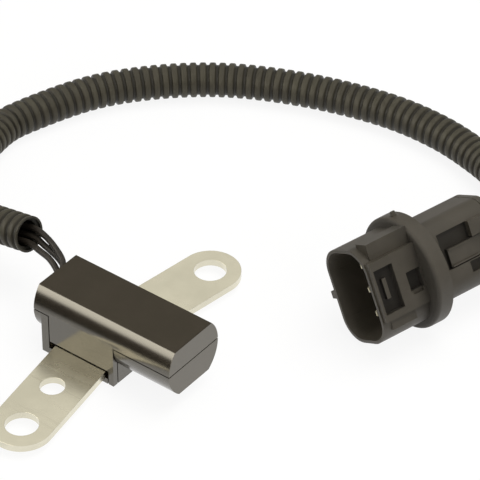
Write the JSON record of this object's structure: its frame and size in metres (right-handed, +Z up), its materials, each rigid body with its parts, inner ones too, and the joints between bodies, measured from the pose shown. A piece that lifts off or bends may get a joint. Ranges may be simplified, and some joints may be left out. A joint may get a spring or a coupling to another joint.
{
  "type": "crankshaft position sensor",
  "caption": "Barrel-shaped sensor head with a flat top on a swept steel bracket, its leads in a ringed loom that ends in a round-flanged oval plug connector.",
  "frame": {"origin": "on the plane that the boss rests on, under the middle of the box round the housing and its bracket", "axes": "+X along the housing to its sensing end, +Y along the bracket, +Z up from the rest plane through the flat top"},
  "size_m": [0.1532, 0.1735, 0.0317],
  "materials": {
    "housing": "moulded, fine grain on top and polished flanks",
    "bracket": "zinc plated, satin",
    "chip": "moulded epoxy",
    "iron": "turned",
    "magnet": "ground",
    "carrier": "moulded",
    "board": "solder mask",
    "ceramic": "fired",
    "crimp": "tinned",
    "seal": "moulded",
    "lead": "extruded",
    "loom": "extruded, ringed",
    "connector": "moulded, fine grain",
    "pin": "tinned",
    "lock": "moulded"
  },
  "bodies": {
    "root": {"upper_shell": "housing", "lower_shell": "housing", "mounting_bracket": "bracket", "hall_sensor": "chip", "pole_piece": "iron", "bias_magnet": "magnet", "magnet_carrier": "carrier", "circuit_board": "board", "filter_capacitor": "ceramic", "pull_up_resistor": "chip", "crimp_power": "crimp", "crimp_signal": "crimp", "crimp_ground": "crimp", "wire_grommet": "seal", "lead_power": "lead", "lead_signal": "lead", "lead_ground": "lead", "loom_mouth": "loom", "loom": "loom", "connector_shell": "connector", "pin_power": "pin", "pin_signal": "pin", "pin_ground": "pin", "pin_lock": "lock", "wire_seal": "seal", "rear_cap": "connector", "loom_collar": "connector"}
  },
  "joints": []
}
